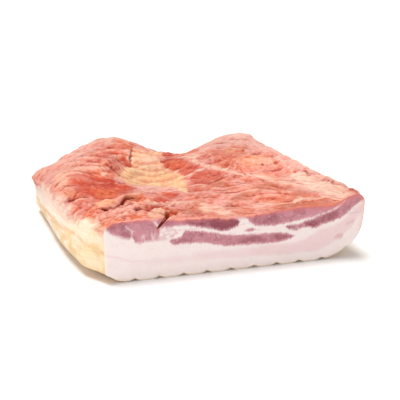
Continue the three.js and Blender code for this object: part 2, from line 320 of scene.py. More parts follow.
def scallop(x):
    place = (x - baconSlab["grooveStart"]) / baconSlab["groovePitch"]
    fromCrest = np.abs(2 * (place - np.floor(place)) - 1)
    flat = baconSlab["crestFlat"]
    return baconSlab["grooveDepth"] * (np.maximum(0, fromCrest - flat) / (1 - flat)) ** 1.4


# noise at many points; each layer has its own seed
def noiseAt(u, v, seed):
    return np.array([noise.noise((a, b, seed)) for a, b in zip(u.tolist(), v.tolist())])


# values with layers of noise added
def addNoise(values, u, v, layers):
    for length, width, reach, seed in layers:
        values = values + reach * noiseAt(u / length, v / width, seed)
    return values


# positions of lattice lines from 0 to 1, closer together where they crowd
def crowdedLines(count, middle, width, gain):
    fine = np.linspace(0, 1, 2001)
    density = 1 + gain * np.exp(-((fine - middle) / width) ** 2)
    total = np.concatenate([[0], np.cumsum((density[1:] + density[:-1]) / 2)])
    return np.interp(np.linspace(0, total[-1], count + 1), total, fine)


# the surface of a box as quads that share their corners; the quads of the cut come first
def boxLattice(lines):
    nu, nv, nw = lines
    i, j, k = np.meshgrid(np.arange(nu + 1), np.arange(nv + 1), np.arange(nw + 1), indexing="ij")
    outer = (i == 0) | (i == nu) | (j == 0) | (j == nv) | (k == 0) | (k == nw)
    index = -np.ones(outer.shape, dtype=int)
    index[outer] = np.arange(outer.sum())

    def sheet(ids, flip):
        quads = np.stack([ids[:-1, :-1], ids[1:, :-1], ids[1:, 1:], ids[:-1, 1:]], -1).reshape(-1, 4)
        return quads[:, ::-1] if flip else quads

    sheets = [sheet(index[:, 0, :], False), sheet(index[:, :, nw], False), sheet(index[:, :, 0], True),
              sheet(index[:, nv, :], True), sheet(index[0], True), sheet(index[nu], False)]
    return np.column_stack([i[outer], j[outer], k[outer]]), index, np.vstack(sheets), len(sheets[0])


# rounds off the left, right and back edges; the cut stays flat
def roundBlock(block):
    s = baconSlab
    x, y, z = block.T
    side = smoothStep(x, 0.3 * s["cutLength"], 0.7 * s["cutLength"])
    low = z < s["footShare"] * s["thickness"]

    def between(key):
        return s["leftEdge"][key] * (1 - side) + s["rightEdge"][key] * side

    up = np.where(low, between("footUp"), between("topUp"))
    rise = smoothStep(z, 0, s["thickness"])
    across = between("footAcross") * (1 - rise) + between("topAcross") * rise
    reach = np.column_stack([across, np.full_like(x, s["backReach"]), up])
    core = np.column_stack([
        np.clip(x, across, s["cutLength"] - across),
        np.minimum(y, s["depth"] - s["backReach"]),
        np.where(low, np.maximum(z, up), np.minimum(z, s["thickness"] - up)),
    ])
    out = (block - core) / reach
    square = np.abs(out).max(1, keepdims=True)
    length = np.maximum(np.linalg.norm(out, axis=1, keepdims=True), 1e-9)
    return core + out / length * square * reach


# bends the rounded block into the slab: plan x and y, height without relief, share of the height
def bendBlock(block):
    s = baconSlab
    along, back = block[:, 0] / s["cutLength"], block[:, 1] / s["depth"]
    up = np.clip(block[:, 2] / s["thickness"], 0, 1)
    grown = smoothStep(block[:, 1], 0, s["swellFull"])
    faded = 1 - s["swellLost"] * smoothStep(block[:, 1], s["swellFading"], s["depth"])
    swell = s["leftSwell"] * grown * faded * np.sin(0.8 * math.pi * (1 - up))
    left = -s["leftLean"] * block[:, 1] + s["leftStraightening"] * block[:, 1] ** 2 - swell
    right = s["cutLength"] - s["rightLean"] * block[:, 1] - s["rightTuck"] * (1 - up) ** 2
    x = left + along * (right - left)
    bulge = sum(reach * np.exp(-((x - mid) / across) ** 2) for mid, across, reach in s["backWaves"])
    y = block[:, 1] + bulge * back * back
    return x, y, block[:, 2] + scallop(block[:, 0]) * (1 - smoothStep(up, 0, 0.3)), up


def smoothPath(points, count):
    p = np.array([points[0]] + list(points) + [points[-1]], dtype=float)
    line = []
    for s in np.linspace(0, len(points) - 1, count):
        n = min(int(s), len(points) - 2)
        t = s - n
        a, b, c, d = p[n:n + 4]
        bowed, twisted = 2 * a - 5 * b + 4 * c - d, 3 * b - a - 3 * c + d
        line.append(0.5 * (2 * b + (c - a) * t + bowed * t * t + twisted * t ** 3))
    return np.array(line)


# how far along a path each point lies (0 to 1), how far to its left, and the way the path runs there
def alongPath(x, y, points):
    line = smoothPath(points, 32)
    start, step = line[:-1], np.diff(line, axis=0)
    dx, dy = x[:, None] - start[None, :, 0], y[:, None] - start[None, :, 1]
    length = (step ** 2).sum(1)
    t = np.clip((dx * step[:, 0] + dy * step[:, 1]) / length, 0, 1)
    away = np.hypot(dx - t * step[:, 0], dy - t * step[:, 1])
    best, rows = away.argmin(1), np.arange(len(x))
    sign = np.sign(step[best, 0] * dy[rows, best] - step[best, 1] * dx[rows, best])
    ahead = step[best] / np.sqrt(length[best])[:, None]
    return (best + t[rows, best]) / len(step), away[rows, best] * sign, ahead


# how far inside an outline each point lies; outside is less than nothing
def insideOutline(x, y, outline):
    away = np.full(len(x), 1e9)
    inside = np.zeros(len(x), dtype=bool)
    for (ax, ay), (bx, by) in zip(outline, outline[1:] + outline[:1]):
        ex, ey = bx - ax, by - ay
        t = np.clip(((x - ax) * ex + (y - ay) * ey) / (ex * ex + ey * ey), 0, 1)
        away = np.minimum(away, np.hypot(x - ax - t * ex, y - ay - t * ey))
        if ay != by:
            inside ^= ((ay > y) != (by > y)) & (x < ex * (y - ay) / ey + ax)
    return np.where(inside, away, -away)


# a smooth surface through the guide lines, so that each strand keeps to one value
def acrossStrands(x, y):
    guides = baconSlab["guides"]
    spots = np.array([spot for value, path in guides for spot in path]) / 100
    values = [value for value, path in guides for spot in path]

    def bend(a, b):
        away = ((a[:, None] - b[None]) ** 2).sum(2)
        return away * np.log(away + 1e-9)

    count = len(spots)
    flat = np.column_stack([np.ones(count), spots])
    system = np.zeros((count + 3, count + 3))
    system[:count, :count] = bend(spots, spots) + 0.004 * np.eye(count)
    system[:count, count:], system[count:, :count] = flat, flat.T
    weights = np.linalg.solve(system, np.append(values, (0, 0, 0)))
    where = np.column_stack([x, y]) / 100
    return bend(where, spots) @ weights[:count] + weights[count] + where @ weights[count + 1:]


# relief of the meat side: folds with sharp creases between, strands, fibres, cords, fat crumbs and pores
def meatRelief(x, y, across, squeeze, fat, spongy, bubbly):
    s = baconSlab

    def strip(name):
        length, width, _, seed = s[name]
        return noiseAt(x / length, across / width, seed)

    def cloud(name):
        size, _, seed = s[name]
        return noiseAt(x / size, y / size, seed)

    def kept(name):
        inFat, inSponge, inCrumbs = s["lost"][name]
        return squeeze * (1 - inFat * fat) * (1 - inSponge * spongy) * (1 - inCrumbs * bubbly)

    # rounded tops with sharp creases between
    def creased(values):
        return 2.0 * np.abs(values) - 0.45

    folded = 1 + 0.9 * hump(x, y, s["foldedSpot"], 1.5)
    total = s["folds"][2] * folded * kept("folds") * creased(strip("folds"))
    total += s["strands"][2] * kept("strands") * creased(strip("strands"))
    for name in ("fibres", "flakes"):
        total += s[name][2] * kept(name) * strip(name)
    total += s["swells"][1] * cloud("swells") + s["grit"][1] * cloud("grit")
    crumbled = np.maximum(np.maximum(0.5 * fat, bubbly), 0.1 * spongy)
    total += s["crumbs"][1] * (1.8 * np.abs(cloud("crumbs")) - 0.4) * crumbled
    total -= s["pores"][1] * np.maximum(0, cloud("pores") - 0.15) * (0.1 + spongy)
    broken = smoothStep(noiseAt(x / 31, y / 31, 83.1), -0.1, 0.2)
    cord = np.exp(-(strip("cords") / 0.1) ** 2) * broken * (1 - 0.7 * fat)
    return total + s["cords"][2] * cord, cord


print("building the slab")
grid, index, quads, cutCount = boxLattice(baconSlab["lines"])
lines = [crowdedLines(count, *crowd) for count, crowd in zip(baconSlab["lines"], baconSlab["crowd"])]
block = np.column_stack([lines[n][grid[:, n]] for n in range(3)])
block *= np.array([baconSlab["cutLength"], baconSlab["depth"], baconSlab["thickness"]])
x, y, level, up = bendBlock(roundBlock(block))
rise = moundRise(x, y)
base = np.column_stack([x, y, level + (rise + wrinkleRise(x, y, rise)) * up * up])
onCut = grid[:, 1] == 0

# colours of the meat side wander across their outlines
wanderX = addNoise(x, x, y, baconSlab["outlineNoiseX"])
wanderY = addNoise(y, x, y, baconSlab["outlineNoiseY"])


def zone(name):
    shares = [share * smoothStep(insideOutline(wanderX, wanderY, outline), -soft, soft)
              for share, soft, outline in baconSlab["zones"].get(name, [])]
    for share, half, path in baconSlab["bands"].get(name, []):
        away = np.abs(alongPath(0.5 * (x + wanderX), 0.5 * (y + wanderY), path)[1])
        shares.append(share * (1 - smoothStep(away, 0.25 * half, half)))
    return np.maximum.reduce(shares)


softFat = zone("softFat")
spongy = hump(x, y, baconSlab["spongySpot"], 1.5)
across = acrossStrands(x, y)
crowdX, crowdY = acrossStrands(x + 1, y) - across, acrossStrands(x, y + 1) - across
squeeze = 1 / np.maximum(1, np.hypot(crowdX, crowdY))  # strands stand lower where they crowd
across = addNoise(across, x, y, baconSlab["strandNoise"])
crumbly = zone("crumbly")
fine, cord = meatRelief(x, y, across, squeeze, softFat, spongy, np.maximum(crumbly, 0.7 * zone("red")))
for spot in baconSlab["lumps"]:
    fine += spot[5] * hump(x, y, spot, 1.0)
for path, half, height in baconSlab["ridges"]:
    fine += height * np.exp(-(alongPath(x, y, path)[1] / half) ** 2)
worn = baconSlab["wornEdge"]
near = np.clip(1 - block[:, 0] / worn["reach"], 0, 1)
wear = worn["depth"] * near ** 2 * smoothStep(y, worn["start"], worn["full"])
place = base.copy()
place[:, 2] += (fine - wear) * up ** 4

# splits and holes, with ragged edges; the crevice mask marks where painted shade goes inside them
creviceShade = np.zeros(len(x))
jitter = addNoise(0, x, y, baconSlab["splitNoise"])
for path, depth, width, slant, flap in baconSlab["splits"]:
    t, aside, ahead = alongPath(x + jitter, y + jitter, path)
    fade = np.sin(math.pi * t) ** 0.6 * up ** 3
    groove = np.maximum(0, 1 - (2 * aside / (width * (0.4 + 0.6 * fade))) ** 2) * fade
    raised = flap * fade * smoothStep(aside, 0, 3) * np.exp(-np.maximum(aside - 3, 0) / 8)
    place[:, 2] += raised - depth * groove
    place[:, :2] += np.column_stack([-ahead[:, 1], ahead[:, 0]]) * (slant * groove)[:, None]
    creviceShade = np.maximum(creviceShade, smoothStep(groove, 0.15, 0.7) * min(1, 0.2 + depth / 4))
for depth, soft, outline in baconSlab["hollows"]:
    inside = insideOutline(0.3 * x + 0.7 * wanderX, 0.3 * y + 0.7 * wanderY, outline)
    place[:, 2] -= depth * smoothStep(inside, -soft, soft) * up ** 3
for holeX, holeY, radius, depth in baconSlab["holes"]:
    sink = np.exp(-((x + jitter - holeX) ** 2 + ((y + jitter - holeY) / 1.5) ** 2) / radius ** 2) * up ** 3
    place[:, 2] -= depth * sink
    creviceShade = np.maximum(creviceShade, 0.7 * smoothStep(sink, 0.3, 0.9))

# the notch leans to the left as it goes down
notch = baconSlab["notch"]
behind = np.clip(y / notch["length"], 0, 1)
aside = x - notch["x"] - notch["turn"] * y - notch["sway"] * np.sin(y / notch["swayPitch"])
deep = np.maximum(0, 1 - (aside / notch["half"]) ** 2) * (1 - behind ** 2) * up ** 4
place[:, 2] -= notch["depth"] * deep
sunk = (1 - up) * baconSlab["thickness"] + notch["depth"] * deep
leaning = np.clip(sunk / notch["depth"], 0, 1)
leaning *= 1 - smoothStep(sunk - notch["depth"], *notch["leanFade"])
place[:, 0] -= notch["lean"] * leaning * np.exp(-(aside / notch["leanReach"]) ** 2) * (1 - behind)
# painted shade inside the notch
creviceShade = np.maximum(creviceShade, smoothStep(deep, 0.1, 0.6) * smoothStep(up, 0.9, 1))

# side faces: lumpy fat with faint layers, and a cut whose rims are slightly rounded
def pointNormals(points):
    total = np.zeros_like(points)
    corner = points[quads]
    facing = np.cross(corner[:, 2] - corner[:, 0], corner[:, 3] - corner[:, 1])
    for n in range(4):
        np.add.at(total, quads[:, n], facing)
    return total / np.linalg.norm(total, axis=1, keepdims=True)


normal = pointNormals(place)
sideways = np.hypot(normal[:, 0], np.maximum(normal[:, 1], 0))
sideOut = addNoise(0, x + y, level, baconSlab["sideLumps"])
sideOut = addNoise(sideOut, x - y, level, baconSlab["sideGrain"])
sideOut += addNoise(0, x - y, level, baconSlab["crustLumps"]) * smoothStep(up, 0.6, 0.9)
sideOut *= sideways * np.where(onCut, 0, smoothStep(y, 0, 14))
place[:, :2] += normal[:, :2] * sideOut[:, None]
lastUp = baconSlab["lines"][2]
place[onCut & ((grid[:, 2] == lastUp) | (grid[:, 2] == 0)), 1] += baconSlab["rimRounding"]

# ridges and hollows of the meat side: how far each point stands above its surroundings, for painted
# highlights on ridges and painted shade in hollows
def blurGrid(values, reach):
    for axis in (0, 1):
        padded = np.pad(values, [(reach + 1, reach) if n == axis else (0, 0) for n in (0, 1)], mode="edge")
        total = np.cumsum(padded, axis=axis)
        count = 2 * reach + 1
        size = total.shape[axis]
        values = np.take(total, range(count, size), axis) - np.take(total, range(size - count), axis)
        values = values / count
    return values


topIndex = index[:, :, lastUp]
topHeight = (place[:, 2] + wear)[topIndex]
ridge = np.zeros(len(x))
for reach, gain in baconSlab["ridgeReaches"]:
    ridge[topIndex] += gain * (topHeight - blurGrid(blurGrid(topHeight, reach), reach))
ridge = np.clip(ridge, -baconSlab["ridgeLimit"], baconSlab["ridgeLimit"])

# where the slab lies in the frame
nodeLow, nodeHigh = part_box("bacon_slab")
midX = (base[:, 0].min() + base[:, 0].max()) / 2
shift = np.array([(nodeLow.x + nodeHigh.x) / 2 / mm - midX, nodeLow.y / mm, 0])
mesh = bpy.data.meshes.new("baconSlab")
mesh.from_pydata(((place + shift) * mm).tolist(), [], quads.tolist())
mesh.polygons.foreach_set("use_smooth", np.ones(len(quads), dtype=bool))
slab = bpy.data.objects.new("baconSlab", mesh)
bpy.context.collection.objects.link(slab)
print("slab has", len(place), "corners and", len(quads), "quads")


def paint(name, values):
    layer = mesh.attributes.new(name, "FLOAT_VECTOR" if values.ndim == 2 else "FLOAT", "POINT")
    layer.data.foreach_set("vector" if values.ndim == 2 else "value", values.astype(np.float32).ravel())


def byDepth(name):
    spots = np.array(baconSlab[name])
    return np.interp(y, spots[:, 0], spots[:, 1])


ragged = noiseAt((x + y) / 26, level / 24, 61.3)
crustEnd = addNoise(byDepth("crustEnd") + 0.12 * ragged, x + y, level, baconSlab["crustNoise"])
paleLine = np.exp(-((up - byDepth("paleLine") - 0.06 * ragged) / 0.05) ** 2) * (x < 60)
paleLine *= smoothStep(y, 45, 75) * (1 - smoothStep(y, 150, 190))
columns = [np.nonzero(onCut & (grid[:, 0] == n))[0] for n in range(baconSlab["lines"][0] + 1)]
topEdge = np.array([place[c, 2].max() for c in columns])[grid[:, 0]]
bottomEdge = np.array([place[c, 2].min() for c in columns])[grid[:, 0]]

paint("flow", np.column_stack([x, across, level]))
paint("layers", np.column_stack([x + y, level + 0.06 * y + 3 * ragged, 0 * level]))
paint("softFat", softFat)
for name in ("red", "orange", "amber", "brownAndShade", "tan", "pale", "cream"):
    paint(name, zone(name))
paint("cord", cord)
paint("crumbly", crumbly)
paint("spongy", spongy)
paint("ridge", ridge)
paint("creviceShade", creviceShade)
paint("crust", smoothStep(up - crustEnd, -0.13, 0.1))
paint("aboveSeam", up - byDepth("seam") - 0.03 * ragged)
paint("paleLine", paleLine)
paint("folded", hump(x, y, baconSlab["foldedSpot"], 1.5))
paint("height", up)
paint("under", smoothStep(-normal[:, 2], 0.35, 0.75))
paint("back", y)
paint("rim", topEdge - place[:, 2])
fromEnds = np.minimum(1.3 * place[:, 0], 2.5 * (baconSlab["cutLength"] - place[:, 0]))
paint("skin", np.minimum(place[:, 2] - bottomEdge, fromEnds))
print("slab painted")


# a screen colour, 0 to 255, as the linear colour that shaders use
def tone(red, green, blue):
    shares = [v / 255 for v in (red, green, blue)]
    return tuple(v / 12.92 if v <= 0.04 else ((v + 0.055) / 1.055) ** 2.4 for v in shares) + (1,)


# small helpers for the node trees
def put(tree, kind, **settings):
    made = tree.nodes.new(kind)
    for key, value in settings.items():
        setattr(made, key, value)
    return made


def feed(tree, socket, value):
    if hasattr(value, "is_linked"):
        tree.links.new(value, socket)
    else:
        socket.default_value = value


def calc(tree, what, a, b=0.0, clamp=False):
    made = put(tree, "ShaderNodeMath", operation=what, use_clamp=clamp)
    feed(tree, made.inputs[0], a)
    feed(tree, made.inputs[1], b)
    return made.outputs[0]


def times(tree, a, b):
    return calc(tree, "MULTIPLY", a, b)


def plus(tree, a, b):
    return calc(tree, "ADD", a, b)


def blend(tree, share, a, b):
    made = put(tree, "ShaderNodeMix", data_type="RGBA", clamp_factor=True)
    for socket, value in ((made.inputs[0], share), (made.inputs[6], a), (made.inputs[7], b)):
        feed(tree, socket, value)
    return made.outputs[2]


def blendValue(tree, share, a, b):
    made = put(tree, "ShaderNodeMix", data_type="FLOAT", clamp_factor=True)
    for socket, value in ((made.inputs[0], share), (made.inputs[2], a), (made.inputs[3], b)):
        feed(tree, socket, value)
    return made.outputs[0]


def ramp(tree, value, low, high, start=0.0, end=1.0):
    made = put(tree, "ShaderNodeMapRange", interpolation_type="SMOOTHSTEP")
    names = ("Value", "From Min", "From Max", "To Min", "To Max")
    for name, setting in zip(names, (value, low, high, start, end)):
        feed(tree, made.inputs[name], setting)
    return made.outputs[0]


def painted(tree, name, output="Fac"):
    return put(tree, "ShaderNodeAttribute", attribute_name=name).outputs[output]


def newGroup(name, inputs, outputs):
    group = bpy.data.node_groups.new(name, "ShaderNodeTree")
    for label, kind, value in inputs:
        socket = group.interface.new_socket(label, in_out="INPUT", socket_type=kind)
        if value is not None:
            socket.default_value = value
    for label in outputs:
        group.interface.new_socket(label, in_out="OUTPUT", socket_type="NodeSocketFloat")
    return group, put(group, "NodeGroupInput"), put(group, "NodeGroupOutput")


# streaks that run with the strands: long one way, fine the other
def makeFibreStreaks():
    group, inside, outside = newGroup("fibreStreaks", [
        ("Flow", "NodeSocketVector", None), ("Length", "NodeSocketFloat", 20.0),
        ("Width", "NodeSocketFloat", 3.0), ("Seed", "NodeSocketFloat", 0.0)], ["Streak"])
    parts = put(group, "ShaderNodeSeparateXYZ")
    group.links.new(inside.outputs["Flow"], parts.inputs[0])
    joined = put(group, "ShaderNodeCombineXYZ")
    feed(group, joined.inputs[0], calc(group, "DIVIDE", parts.outputs[0], inside.outputs["Length"]))
    feed(group, joined.inputs[1], calc(group, "DIVIDE", parts.outputs[1], inside.outputs["Width"]))
    deep = calc(group, "DIVIDE", parts.outputs[2], inside.outputs["Width"])
    feed(group, joined.inputs[2], plus(group, deep, inside.outputs["Seed"]))
    cloud = put(group, "ShaderNodeTexNoise")
    cloud.inputs["Scale"].default_value = 1.0
    cloud.inputs["Detail"].default_value = 4.0
    cloud.inputs["Roughness"].default_value = 0.62
    group.links.new(joined.outputs[0], cloud.inputs["Vector"])
    group.links.new(ramp(group, cloud.outputs["Fac"], 0.3, 0.7), outside.inputs["Streak"])
    return group


# cloudy patches and small specks
def makeMottle():
    group, inside, outside = newGroup("mottle", [
        ("Place", "NodeSocketVector", None), ("Size", "NodeSocketFloat", 20.0),
        ("Speck Size", "NodeSocketFloat", 4.0)], ["Blotch", "Speck"])
    for name, size, low, high in (("Blotch", "Size", 0.35, 0.65), ("Speck", "Speck Size", 0.6, 0.72)):
        scaled = put(group, "ShaderNodeVectorMath", operation="DIVIDE")
        group.links.new(inside.outputs["Place"], scaled.inputs[0])
        group.links.new(inside.outputs[size], scaled.inputs[1])
        cloud = put(group, "ShaderNodeTexNoise")
        cloud.inputs["Scale"].default_value = 1.0
        cloud.inputs["Detail"].default_value = 2.0
        group.links.new(scaled.outputs[0], cloud.inputs["Vector"])
        group.links.new(ramp(group, cloud.outputs["Fac"], low, high), outside.inputs[name])
    return group


fibreStreaks, mottle = makeFibreStreaks(), makeMottle()


def placeGroup(tree, group, **values):
    made = put(tree, "ShaderNodeGroup", node_tree=group)
    for name, value in values.items():
        feed(tree, made.inputs[name.replace("_", " ")], value)
    return made


def newMaterial(name):
    made = bpy.data.materials.new(name)
    made.use_nodes = True
    return made, made.node_tree, made.node_tree.nodes["Principled BSDF"]


def placeInMillimetres(tree):
    scaled = put(tree, "ShaderNodeVectorMath", operation="SCALE")
    scaled.inputs["Scale"].default_value = 1 / mm
    tree.links.new(put(tree, "ShaderNodeTexCoord").outputs["Object"], scaled.inputs[0])
    return scaled.outputs[0]


def bumpFrom(tree, shader, height, strength, distance):
    bump = put(tree, "ShaderNodeBump")
    bump.inputs["Strength"].default_value = strength
    bump.inputs["Distance"].default_value = distance
    feed(tree, bump.inputs["Height"], height)
    tree.links.new(bump.outputs[0], shader.inputs["Normal"])


# light goes a little way into meat and fat
def letLightIn(shader, glow):
    shader.inputs["Subsurface Weight"].default_value = glow["weight"]
    shader.inputs["Subsurface Radius"].default_value = glow["radius"]
    shader.inputs["Subsurface Scale"].default_value = glow["scale"]


# smoked outside: orange-red lean, pink membrane, yellow fat, cream sides and a tan rind, with colours for
# painted highlights and painted shade
smokedFinish = {
    "pink": tone(226, 144, 130), "orange": tone(224, 114, 74), "red": tone(194, 56, 30),
    "redLight": tone(208, 78, 46), "bright": tone(230, 112, 64), "amber": tone(242, 166, 112),
    # membrane and cream film also paint highlights on ridges; deep paints shade in creases, split paints
    # shade in splits and holes, brown is partly painted shadow
    "brownAndShade": tone(174, 58, 38), "tan": tone(188, 94, 62), "pale": tone(240, 182, 168),
    "softFat": tone(250, 206, 150), "fatOrange": tone(238, 160, 108), "fatPale": tone(254, 224, 178),
    "backFat": tone(240, 192, 160), "cream": tone(248, 214, 192), "membraneAndHighlight": tone(250, 202, 180),
    "creamFilmAndHighlight": tone(250, 210, 188), "deep": tone(178, 62, 40), "split": tone(124, 34, 18),
    "sideHigh": tone(252, 236, 216), "sidePink": tone(246, 210, 194), "sideLow": tone(242, 208, 150),
    "sideYellow": tone(252, 226, 182), "sideSeam": tone(236, 182, 130), "rind": tone(222, 180, 132),
    "rindDark": tone(190, 134, 84), "rindPale": tone(238, 208, 166),
    "rough": (0.4, 0.58), "gloss": 0.26,
    "glow": {"weight": 0.12, "radius": (1.0, 0.35, 0.2), "scale": 0.004},
    "bump": (0.7, 0.001),
}


def makeSmoked():
    look = smokedFinish
    made, tree, shader = newMaterial("smokedOutside")
    flow, spot = painted(tree, "flow", "Vector"), placeInMillimetres(tree)

    def streaks(lines, length, width, seed):
        return placeGroup(tree, fibreStreaks, Flow=lines, Length=length, Width=width, Seed=seed).outputs[0]

    broad, long = streaks(flow, 36.0, 7.5, 4.0), streaks(flow, 17.0, 2.7, 1.0)
    short, layers = streaks(flow, 6.0, 1.1, 7.0), streaks(painted(tree, "layers", "Vector"), 26.0, 2.4, 2.0)
    cloud = placeGroup(tree, mottle, Place=spot, Size=13.0, Speck_Size=3.0)
    hue = placeGroup(tree, mottle, Place=spot, Size=24.0, Speck_Size=6.0)
    dapple = placeGroup(tree, mottle, Place=spot, Size=5.0, Speck_Size=2.0).outputs["Blotch"]
    blotch = cloud.outputs["Blotch"]
    softFat, creviceShade, spongy = painted(tree, "softFat"), painted(tree, "creviceShade"), painted(tree, "spongy")
    crumbly, red, cream, back = (painted(tree, name) for name in ("crumbly", "red", "cream", "back"))
    grain = plus(tree, plus(tree, times(tree, long, 0.7), times(tree, short, 0.7)), -0.7)
    grain = times(tree, grain, ramp(tree, spongy, 0.0, 1.0, 1.2, 0.6))
    lifted = plus(tree, painted(tree, "ridge"), grain)

    # lean: pink to orange from strand to strand, redder and paler in places
    broad = blendValue(tree, calc(tree, "MAXIMUM", spongy, times(tree, crumbly, 0.7)), broad, blotch)
    mixed = ramp(tree, plus(tree, broad, hue.outputs["Blotch"]), 0.35, 1.65)
    colour = blend(tree, mixed, look["pink"], look["orange"])
    redShare = plus(tree, red, times(tree, plus(tree, broad, -0.6), 0.5))
    colour = blend(tree, redShare, colour, blend(tree, blotch, look["red"], look["redLight"]))
    colour = blend(tree, times(tree, painted(tree, "orange"), 0.85), colour, look["bright"])
    colour = blend(tree, painted(tree, "pale"), colour, look["pale"])
    colour = blend(tree, painted(tree, "amber"), colour, look["amber"])
    paleDapple = times(tree, ramp(tree, dapple, 0.6, 1.0, 0.0, 0.4), ramp(tree, red, 0.0, 1.0, 1.0, 0.2))
    colour = blend(tree, paleDapple, colour, look["pale"])
    colour = blend(tree, ramp(tree, dapple, 0.4, 0.0, 0.0, 0.3), colour, look["redLight"])

    # soft fat with orange and pale streaks, cream fat, and membrane on the ridges; cords are real membrane,
    # while the lighter film on raised ridges and crumbs is a painted highlight
    fatColour = blend(tree, ramp(tree, back, 140.0, 200.0), look["softFat"], look["backFat"])
    orangeFat = ramp(tree, plus(tree, broad, blotch), 0.7, 1.5, 0.0, 0.48)
    fatColour = blend(tree, orangeFat, fatColour, look["fatOrange"])
    fatColour = blend(tree, ramp(tree, long, 0.5, 0.0, 0.0, 0.7), fatColour, look["fatPale"])
    fatShare = ramp(tree, plus(tree, lifted, hue.outputs["Speck"]), -0.6, 0.4, 0.6, 1.0)
    colour = blend(tree, times(tree, softFat, fatShare), colour, fatColour)
    creamShare = times(tree, cream, ramp(tree, plus(tree, long, short), 0.5, 1.2, 0.2, 1.0))
    colour = blend(tree, creamShare, colour, look["cream"])
    ridgeHighlight = times(tree, ramp(tree, lifted, 0.25, 1.0), 0.65)
    filmAndHighlight = calc(tree, "MAXIMUM", times(tree, painted(tree, "cord"), 0.5), ridgeHighlight)
    for name, outside, within in (("red", 1.0, 0.35), ("folded", 0.7, 1.0), ("brownAndShade", 1.0, 0.15)):
        filmAndHighlight = times(tree, filmAndHighlight, ramp(tree, painted(tree, name), 0.0, 1.0, outside, within))
    filmAndHighlight = calc(tree, "MAXIMUM", filmAndHighlight, times(tree, crumbly, times(tree, hue.outputs["Speck"], 0.6)))
    rightward = put(tree, "ShaderNodeSeparateXYZ")
    tree.links.new(flow, rightward.inputs[0])
    toRight = ramp(tree, rightward.outputs[0], 50.0, 140.0)
    colour = blend(tree, filmAndHighlight, colour, blend(tree, toRight, look["membraneAndHighlight"], look["creamFilmAndHighlight"]))

    # tan patches, brown patches that are partly painted shadow, and painted shade in the hollows and creases
    tanShare = times(tree, painted(tree, "tan"), ramp(tree, long, 0.0, 1.0, 1.0, 0.6))
    colour = blend(tree, tanShare, colour, look["tan"])
    brownAndShadeShare = ramp(tree, plus(tree, dapple, long), 0.3, 1.3, 0.95, 0.3)
    colour = blend(tree, times(tree, painted(tree, "brownAndShade"), brownAndShadeShare), colour, look["brownAndShade"])
    creaseShadeShare = times(tree, ramp(tree, lifted, -0.25, -1.0), ramp(tree, softFat, 0.0, 1.0, 0.85, 0.35))
    creaseShadeShare = times(tree, creaseShadeShare, ramp(tree, cream, 0.0, 1.0, 1.0, 0.45))
    colour = blend(tree, creaseShadeShare, colour, look["deep"])

    # sides: pale fat, mottled, with faint layers and a broken orange seam
    aboveSeam = painted(tree, "aboveSeam")
    paleShare = ramp(tree, plus(tree, hue.outputs["Blotch"], blotch), 0.3, 1.5)
    side = blend(tree, paleShare, look["sideLow"], look["sideHigh"])
    side = blend(tree, times(tree, ramp(tree, layers, 0.5, 0.95), 0.55), side, look["sideSeam"])
    layerShare = times(tree, ramp(tree, layers, 0.45, 0.95), 0.6)
    highColour = blend(tree, layerShare, look["sideHigh"], look["sidePink"])
    highShare = plus(tree, aboveSeam, times(tree, plus(tree, blotch, -0.5), 0.1))
    side = blend(tree, ramp(tree, highShare, -0.03, 0.1), side, highColour)
    yellowShare = times(tree, ramp(tree, back, 80.0, 20.0), ramp(tree, blotch, 0.2, 0.9, 0.3, 0.7))
    side = blend(tree, yellowShare, side, look["sideYellow"])
    pinkShare = times(tree, ramp(tree, painted(tree, "height"), 0.45, 0.7), ramp(tree, back, 90.0, 150.0))
    side = blend(tree, times(tree, pinkShare, 0.7), side, look["sidePink"])
    seamShare = ramp(tree, calc(tree, "ABSOLUTE", aboveSeam), 0.055, 0.0)
    seamShare = times(tree, seamShare, ramp(tree, blotch, 0.1, 0.8, 0.15, 0.8))
    side = blend(tree, seamShare, side, look["sideSeam"])
    side = blend(tree, times(tree, cloud.outputs["Speck"], 0.3), side, look["sideSeam"])
    colour = blend(tree, painted(tree, "crust"), side, colour)
    colour = blend(tree, times(tree, painted(tree, "paleLine"), 0.75), colour, look["membraneAndHighlight"])

    # mottled rind underneath, and painted shade inside the splits and holes
    rindShare = ramp(tree, hue.outputs["Blotch"], 0.0, 1.0, 0.0, 0.4)
    rind = blend(tree, rindShare, look["rind"], look["rindDark"])
    rindMarks = plus(tree, times(tree, layers, 0.35), times(tree, cloud.outputs["Speck"], 0.5))
    rind = blend(tree, rindMarks, rind, look["rindPale"])
    colour = blend(tree, painted(tree, "under"), colour, rind)
    colour = blend(tree, times(tree, creviceShade, 0.9), colour, look["split"])
    feed(tree, shader.inputs["Base Color"], colour)
    rough = ramp(tree, blotch, 0.0, 1.0, *look["rough"])
    feed(tree, shader.inputs["Roughness"], plus(tree, rough, times(tree, creviceShade, 0.4)))
    bumpFrom(tree, shader, plus(tree, long, times(tree, short, 0.7)), *look["bump"])
    shader.inputs["Specular IOR Level"].default_value = look["gloss"]
    letLightIn(shader, look["glow"])
    return made


